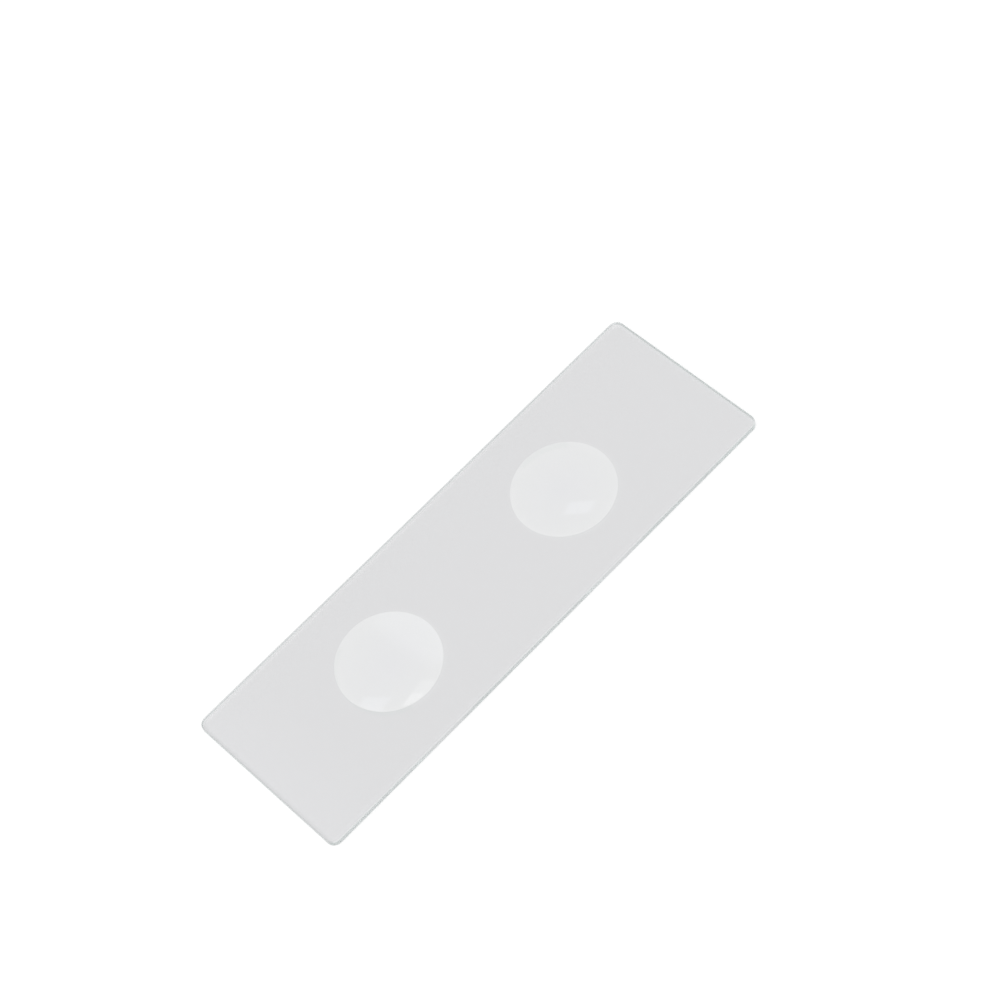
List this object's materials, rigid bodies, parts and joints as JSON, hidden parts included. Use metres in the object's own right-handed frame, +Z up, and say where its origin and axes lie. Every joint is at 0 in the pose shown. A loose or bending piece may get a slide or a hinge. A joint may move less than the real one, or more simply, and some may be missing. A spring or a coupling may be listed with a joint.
{
  "type": "microscope slide",
  "caption": "clear glass microscope slide, a thin flat plate with rounded corners, ground bevelled edges and shallow round wells in its upper face for holding drops",
  "frame": {"origin": "middle of the underside, at the height of the surface the slide lies on", "axes": "+X along the length, +Y across the width, +Z up out of the welled face"},
  "size_m": [0.0762, 0.0254, 0.001],
  "materials": {
    "glass": "polished clear soda-lime glass, fine-ground edges"
  },
  "bodies": {
    "root": {"slide": "glass"}
  },
  "joints": []
}
